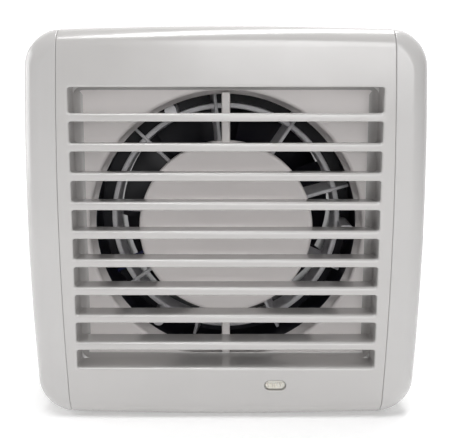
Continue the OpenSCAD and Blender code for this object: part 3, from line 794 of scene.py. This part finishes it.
def lug_shell(angle):
    """Screw boss outside the ring with its web, as far forward as the catch arms reach."""
    shell = Shell()
    web_x = RING_R - 0.8
    web_half = 1.9
    loop = [(LUG_R + LUG_BOSS_R * math.cos(t), LUG_BOSS_R * math.sin(t))
            for t in linspace(-math.pi / 2, math.pi / 2, 15)]
    loop += [(web_x, web_half), (web_x, -web_half)]
    rows = [shell.row(rotated_about_axis([(x, y, z) for x, z in loop], angle))
            for y in (LUG_BACK_Y, CATCH_FRONT_Y - SKIN_GAP)]
    shell.loft(rows)
    shell.cap(rows[0])
    shell.cap(rows[1])
    shell.bevel(rows[0], closed=True)
    return shell


def motor_cup_shell():
    """Cup that holds the motor, with a rounded front rim and a holed floor."""
    front, back = CUP_LOW.y, CUP_HIGH.y
    floor_hole_r = 7.0
    inner = CUP_R - CUP_T
    profile = rounded([(inner, front), (CUP_R, front), (CUP_R, back), (floor_hole_r, back),
                       (floor_hole_r, back - CUP_T), (inner, back - CUP_T)], [0.7, 0.7, 1.2, 0.3, 0.3, 0.8])
    return lathe(profile)


def hub_shell():
    """Fan wheel hub: soft front corner, open back, and the tube for the insert."""
    front, back = HUB_LOW.y, HUB_HIGH.y
    r = HUB_HIGH.x
    bore_r = 4.55
    tube_r = 6.5
    inner_r = r - 1.8
    profile = rounded([(bore_r, front), (r, front), (r, back), (inner_r, back), (inner_r, front + 2),
                       (tube_r, front + 2), (tube_r, back - 2), (bore_r, back - 2)],
                      [0.2, 1.6, 0.3, 0.3, 1.0, 0.6, 0.3, 0.2])
    return lathe(profile)


def fan_blade_shell(angle):
    """Cambered blade that widens to the tip, with a rounded nose and a thin trailing edge."""
    shell = Shell()
    mid = (BLADES_LOW.y + BLADES_HIGH.y) / 2
    depth = BLADES_HIGH.y - BLADES_LOW.y - 2.0
    hub_r = HUB_HIGH.x
    tip_r = BLADES_HIGH.x
    rows = []
    for r in linspace(hub_r - 0.6, tip_r - 0.1, 14):
        share = (r - hub_r) / (tip_r - hub_r)
        half_angle = math.radians(BLADE_HALF_ANGLE - 2.0 * max(0.0, share) ** 8)
        span = depth * (0.86 + 0.14 * share)
        half_t = 0.95 - 0.25 * share
        front_side, back_side = [], []
        for u in linspace(-1, 1, 17):
            lean = math.atan2(span, 2 * r * half_angle)
            bend = 1.9 * (1 - u * u) - 0.95
            thick = half_t * (0.5 + 0.5 * math.sqrt(max(0.0, 1 - ((u + 0.3) / 1.3) ** 2)))
            for side, line in ((-1, front_side), (1, back_side)):
                off = bend + side * thick
                swing = -u * half_angle - off * math.sin(lean) / r
                line.append((r * math.cos(swing), mid + u * span / 2 + off * math.cos(lean),
                             r * math.sin(swing)))
        rows.append(shell.row(rotated_about_axis(front_side + back_side[::-1], angle)))
    shell.loft(rows)
    shell.cap(rows[0])
    shell.cap(rows[-1])
    return shell


# ---- Materials --------------------------------------------------------------

def blank_material(name):
    """Material with only a Principled shader, and its node tree."""
    material = bpy.data.materials.new(name)
    material.use_nodes = True
    return material, material.node_tree, material.node_tree.nodes["Principled BSDF"]


def noise_field(tree, size, stretch=(1, 1, 1), detail=3.0):
    """Noise whose grains measure about size millimetres, stretched along an axis."""
    place = tree.nodes.new("ShaderNodeTexCoord")
    mapping = tree.nodes.new("ShaderNodeMapping")
    mapping.inputs["Scale"].default_value = [1 / (size * MM * s) for s in stretch]
    noise = tree.nodes.new("ShaderNodeTexNoise")
    noise.inputs["Scale"].default_value = 1.0
    noise.inputs["Detail"].default_value = detail
    tree.links.new(place.outputs["Object"], mapping.inputs["Vector"])
    tree.links.new(mapping.outputs["Vector"], noise.inputs["Vector"])
    return noise.outputs["Fac"]


def remapped(tree, field, low, high, start=0.3, end=0.7):
    """Field stretched so that start to end becomes low to high."""
    node = tree.nodes.new("ShaderNodeMapRange")
    node.inputs["From Min"].default_value = start
    node.inputs["From Max"].default_value = end
    node.inputs["To Min"].default_value = low
    node.inputs["To Max"].default_value = high
    tree.links.new(field, node.inputs["Value"])
    return node.outputs["Result"]


def tinted(tree, factor, first, second):
    """Colour between two tones by a field."""
    node = tree.nodes.new("ShaderNodeMix")
    node.data_type = "RGBA"
    node.inputs["A"].default_value = (*first, 1)
    node.inputs["B"].default_value = (*second, 1)
    tree.links.new(factor, node.inputs["Factor"])
    return node.outputs["Result"]


def relief(tree, fields, shader):
    """Chain of bumps of (field, strength, height in millimetres) into a shader's normal."""
    normal = None
    for field, strength, height in fields:
        bump = tree.nodes.new("ShaderNodeBump")
        bump.inputs["Strength"].default_value = strength
        bump.inputs["Distance"].default_value = height * MM
        tree.links.new(field, bump.inputs["Height"])
        if normal:
            tree.links.new(normal, bump.inputs["Normal"])
        normal = bump.outputs["Normal"]
    tree.links.new(normal, shader.inputs["Normal"])


def darker(colour, share):
    """The colour scaled towards black."""
    return tuple(channel * share for channel in colour)


def moulded_plastic(name, colour, gloss, waviness=0.35, dust=0.97, sheen=0.5):
    """Injection-moulded plastic: fine grain, slight flow waviness, uneven gloss and tone."""
    material, tree, shader = blank_material(name)
    grain = noise_field(tree, 0.22)
    flow = noise_field(tree, 14.0, detail=1.0)
    marks = noise_field(tree, 6.0, (1, 1, 2), 4.0)
    tone = remapped(tree, noise_field(tree, 24.0, detail=4.0), 0.0, 1.0)
    tree.links.new(tinted(tree, tone, darker(colour, dust), colour), shader.inputs["Base Color"])
    tree.links.new(remapped(tree, marks, gloss - 0.02, gloss + 0.04), shader.inputs["Roughness"])
    shader.inputs["Specular IOR Level"].default_value = sheen
    relief(tree, [(flow, waviness, 0.12), (grain, 0.12, 0.02)], shader)
    return material


def translucent_plastic(name, colour, gloss):
    """Moulded plastic that lets a little light through, such as nylon or a lens."""
    material = moulded_plastic(name, colour, gloss)
    shader = material.node_tree.nodes["Principled BSDF"]
    shader.inputs["Subsurface Weight"].default_value = 0.25
    shader.inputs["Subsurface Radius"].default_value = (0.0012, 0.001, 0.0008)
    return material


def metal(name, colour, gloss, scratch_stretch, scratch_size=0.12, pits=0.0):
    """Metal with directed scratches, patches of dulled finish and optional pits."""
    material, tree, shader = blank_material(name)
    scratches = noise_field(tree, scratch_size, scratch_stretch, 5.0)
    patches = noise_field(tree, 5.0, detail=5.0)
    tree.links.new(tinted(tree, remapped(tree, patches, 0.0, 1.0), darker(colour, 0.78), colour),
                   shader.inputs["Base Color"])
    tree.links.new(remapped(tree, patches, gloss + 0.14, gloss - 0.04), shader.inputs["Roughness"])
    shader.inputs["Metallic"].default_value = 1.0
    fields = [(scratches, 0.3, 0.02)]
    if pits:
        fields.append((noise_field(tree, 0.35, detail=2.0), pits, 0.12))
    relief(tree, fields, shader)
    return material


def layered(name, colour, gloss, axis, pitch, metallic, depth):
    """Surface ruled by fine even layers across one axis: laminations or windings."""
    material, tree, shader = blank_material(name)
    place = tree.nodes.new("ShaderNodeTexCoord")
    wave = tree.nodes.new("ShaderNodeTexWave")
    wave.bands_direction = axis
    wave.inputs["Scale"].default_value = 0.31416 / (pitch * MM)
    wave.inputs["Distortion"].default_value = 0.6
    wave.inputs["Detail"].default_value = 1.0
    tree.links.new(place.outputs["Object"], wave.inputs["Vector"])
    patches = noise_field(tree, 3.0, detail=5.0)
    ridges = remapped(tree, wave.outputs["Fac"], 0.0, 1.0, 0.1, 0.9)
    tree.links.new(tinted(tree, ridges, darker(colour, 0.55), colour), shader.inputs["Base Color"])
    tree.links.new(remapped(tree, patches, gloss - 0.06, gloss + 0.12), shader.inputs["Roughness"])
    shader.inputs["Metallic"].default_value = metallic
    relief(tree, [(wave.outputs["Fac"], 0.7, depth), (patches, 0.1, 0.03)], shader)
    return material


def rubber(name):
    """Matte black rubber with a dusty bloom."""
    material, tree, shader = blank_material(name)
    bloom = noise_field(tree, 1.6, detail=6.0)
    dust = remapped(tree, bloom, 0.0, 1.0)
    tone = tinted(tree, dust, (0.018, 0.018, 0.019), (0.045, 0.044, 0.043))
    tree.links.new(tone, shader.inputs["Base Color"])
    tree.links.new(remapped(tree, bloom, 0.62, 0.85), shader.inputs["Roughness"])
    relief(tree, [(noise_field(tree, 0.3), 0.3, 0.05)], shader)
    return material


def lamp_glass(name):
    """Orange-tinted lamp glass with slight ripples."""
    material, tree, shader = blank_material(name)
    ripple = noise_field(tree, 2.0, detail=1.0)
    tree.links.new(tinted(tree, remapped(tree, ripple, 0.0, 1.0), (0.93, 0.52, 0.30), (0.96, 0.66, 0.44)),
                   shader.inputs["Base Color"])
    tree.links.new(remapped(tree, ripple, 0.03, 0.10), shader.inputs["Roughness"])
    shader.inputs["Transmission Weight"].default_value = 0.85
    shader.inputs["IOR"].default_value = 1.5
    relief(tree, [(ripple, 0.15, 0.1)], shader)
    return material


MATERIALS = {
    # Painted light: the cover, grille, baffle plate and disc are one white plastic, but the cover and grille
    # get a darker tone (0.51) and the baffle a much lighter one (0.92), so the shaded recess behind the
    # louvres reads bright.
    "cover_white": moulded_plastic("CoverWhite", (0.51, 0.500, 0.494), 0.22, sheen=0.9),
    "grille_white": moulded_plastic("GrilleWhite", (0.50, 0.488, 0.480), 0.20, sheen=0.9),
    # Painted light: this lighter copy of the white plastic brightens the baffle plate and disc in the shade
    # behind the louvres.
    "baffle_white": moulded_plastic("BaffleWhitePaintedLight", (0.92, 0.88, 0.87), 0.42),
    "lens_ivory": translucent_plastic("LensIvory", (0.78, 0.76, 0.70), 0.22),
    "white_carrier": moulded_plastic("CarrierWhite", (0.76, 0.75, 0.77), 0.40),
    "dark_housing": moulded_plastic("HousingDark", (0.009, 0.0085, 0.017), 0.42, dust=0.7),
    "dark_fan": moulded_plastic("FanDark", (0.009, 0.0085, 0.016), 0.36, dust=0.7),
    "lamination_steel": layered("LaminationSteel", (0.30, 0.30, 0.32), 0.42, "Y", 0.5, 1.0, 0.06),
    "cast_alloy": metal("CastAlloy", (0.56, 0.56, 0.57), 0.42, (1, 1, 1), 0.3, 0.5),
    "zinc_steel": metal("ZincSteel", (0.62, 0.63, 0.65), 0.28, (1, 1, 1), 0.15),
    "ground_steel": metal("GroundSteel", (0.60, 0.61, 0.63), 0.16, (8, 1, 8), 0.08),
    "sintered_bronze": metal("SinteredBronze", (0.42, 0.29, 0.15), 0.50, (1, 1, 1), 0.2, 0.8),
    "terminal_brass": metal("TerminalBrass", (0.70, 0.50, 0.20), 0.26, (1, 4, 1), 0.1),
    "ring_copper": metal("RingCopper", (0.68, 0.30, 0.16), 0.30, (1, 6, 1), 0.1),
    "winding_copper": layered("WindingCopper", (0.48, 0.17, 0.06), 0.28, "X", 0.42, 0.8, 0.12),
    "natural_nylon": translucent_plastic("NaturalNylon", (0.72, 0.68, 0.58), 0.45),
    "washer_fibre": moulded_plastic("WasherFibre", (0.17, 0.07, 0.035), 0.75, 0.6, 0.6),
    "black_rubber": rubber("BlackRubber"),
    "lead_insulation": moulded_plastic("LeadInsulation", (0.02, 0.025, 0.12), 0.40, 0.2, 0.7),
    "lamp_glass": lamp_glass("LampGlass"),
}


# ---- The object -------------------------------------------------------------

def build_cover():
    """Pieces that come off with the cover."""
    piece("CoverSurround", [cover_surround_shell(), *joint_lips()], "cover",
          MATERIALS["cover_white"], ["cover_surround"], bevel=0.4)
    piece("GrillePanel", [grille_panel_shell(), cove_frame_shell()], "cover",
          MATERIALS["grille_white"], ["grille_panel"], bevel=0.5)
    # The baffle plate and disc take the lightened white, painted light for the shaded recess.
    piece("BafflePlate", [baffle_plate_shell()], "cover",
          MATERIALS["baffle_white"], ["baffle_plate"], bevel=0.4)
    piece("BaffleDisc", [disc_shell(), strut_shell(1), strut_shell(-1)], "cover",
          MATERIALS["baffle_white"], ["baffle_disc"])
    piece("PilotLens", lens_shells(), "cover", MATERIALS["lens_ivory"], ["indicator_lens"])


def build_carrier():
    """Vane ring and motor cup."""
    piece("VaneRing", vane_ring_shells(), "fixed", MATERIALS["white_carrier"],
          ["vane_ring"], bevel=0.3)
    piece("MotorCup", [motor_cup_shell()], "fixed", MATERIALS["white_carrier"],
          ["motor_cup"])


def build_fan_wheel():
    """Hub and blades of the fan wheel."""
    piece("FanHub", [hub_shell()], "rotor", MATERIALS["dark_fan"], ["impeller_hub"])
    piece("FanBlades", [fan_blade_shell(360 * i / FAN_BLADES) for i in range(FAN_BLADES)], "rotor",
          MATERIALS["dark_fan"], ["impeller_blades"])


def dress_cad_nodes():
    """Materials and softened edges for the CAD nodes that are shown as they are."""
    slots = {part["node"]: part["material_slot"] for part in frame["record"]["subparts"]}
    for name, node in frame["nodes"].items():
        if node.hide_render:
            continue
        material = MATERIALS[slots[name]]
        node.data.materials.clear()
        node.data.materials.append(material)
        small = min(node.dimensions)
        round_edges(node, min(0.35, 0.06 * small / MM), "ANGLE")
        weigh_normals(node)


# ---- Stage ------------------------------------------------------------------

def stage_material(name, colour, glow):
    """Pale matte stage paint with faint mottling and a little glow."""
    material, tree, shader = blank_material(name)
    tone = remapped(tree, noise_field(tree, 90.0, detail=4.0), 0.0, 1.0)
    tree.links.new(tinted(tree, tone, darker(colour, 0.985), colour), shader.inputs["Base Color"])
    shader.inputs["Roughness"].default_value = 0.9
    shader.inputs["Emission Color"].default_value = (1, 1, 1, 1)
    shader.inputs["Emission Strength"].default_value = glow
    return material


def stage_piece(name, profile, material):
    """Sheet swept across X through (y, z) points in millimetres, kept apart from the object."""
    half_w = 2500
    points = [(x * MM, y * MM, z * MM) for y, z in profile for x in (-half_w, half_w)]
    faces = [(2 * i, 2 * i + 1, 2 * i + 3, 2 * i + 2) for i in range(len(profile) - 1)]
    mesh = bpy.data.meshes.new(name)
    mesh.from_pydata(points, [], faces)
    mesh.shade_smooth()
    mesh.materials.append(material)
    made = bpy.data.objects.new(name, mesh)
    bpy.context.scene.collection.objects.link(made)


def build_stage():
    """Pale floor that runs into a brighter curved backdrop."""
    floor_z = cad_bounds[0].z / MM
    near_y = -1500
    far_y = 300
    bend = 400
    tall = 1800
    pale = (0.9, 0.9, 0.9)
    stage_piece("Floor", [(near_y, floor_z), (far_y, floor_z)], stage_material("FloorPaint", pale, 0.20))
    curve = [(far_y + bend * math.sin(t), floor_z + bend * (1 - math.cos(t)))
             for t in linspace(0, math.pi / 2, 20)]
    stage_piece("Backdrop", [*curve, (far_y + bend, floor_z + tall)],
                stage_material("BackdropPaint", pale, 0.5))


def area_light(name, place, target, width, height, watts):
    """Rectangular softbox at a place in metres that faces the target."""
    lamp = bpy.data.lights.new(name, "AREA")
    lamp.shape = "RECTANGLE"
    lamp.size = width
    lamp.size_y = height
    lamp.energy = watts
    made = bpy.data.objects.new(name, lamp)
    made.location = place
    made.rotation_mode = "QUATERNION"
    made.rotation_quaternion = (Vector(target) - Vector(place)).to_track_quat("-Z", "Y")
    bpy.context.scene.collection.objects.link(made)


def light_scene():
    """Broad light from the front a little above, a strip overhead and a weak softbox on the left."""
    area_light("FrontLight", (0.20, -1.20, 0.36), (0, -0.05, 0), 0.6, 0.6, 5.3)
    area_light("TopLight", (0.05, -0.08, 0.75), (0, -0.05, 0), 1.0, 0.16, 6.8)
    area_light("LeftLight", (-0.9, 0.12, 0.15), (0, -0.02, 0), 0.6, 0.6, 3.0)
    world = bpy.data.worlds.new("Studio")
    world.use_nodes = True
    background = world.node_tree.nodes["Background"]
    background.inputs["Color"].default_value = (1.0, 0.99, 1.0, 1)
    background.inputs["Strength"].default_value = 0.10
    scene = bpy.context.scene
    scene.world = world
    scene.view_settings.view_transform = "Standard"


def build_camera():
    """Camera a little above the fan's centre, close enough for clear perspective."""
    pitch = math.radians(10.58)
    target = Vector((-0.33, FRONT_Y, 6.2))
    reach = 281.2
    data = bpy.data.cameras.new("Camera")
    data.sensor_width = 36.0
    data.lens = 60.0
    data.clip_start = 0.01
    camera = bpy.data.objects.new("Camera", data)
    place = target + reach * Vector((0, -math.cos(pitch), math.sin(pitch)))
    camera.location = place * MM
    camera.rotation_mode = "QUATERNION"
    camera.rotation_quaternion = (target - place).to_track_quat("-Z", "Y")
    bpy.context.scene.collection.objects.link(camera)
    bpy.context.scene.camera = camera


build_cover()
build_carrier()
build_fan_wheel()
dress_cad_nodes()
build_stage()
light_scene()
build_camera()
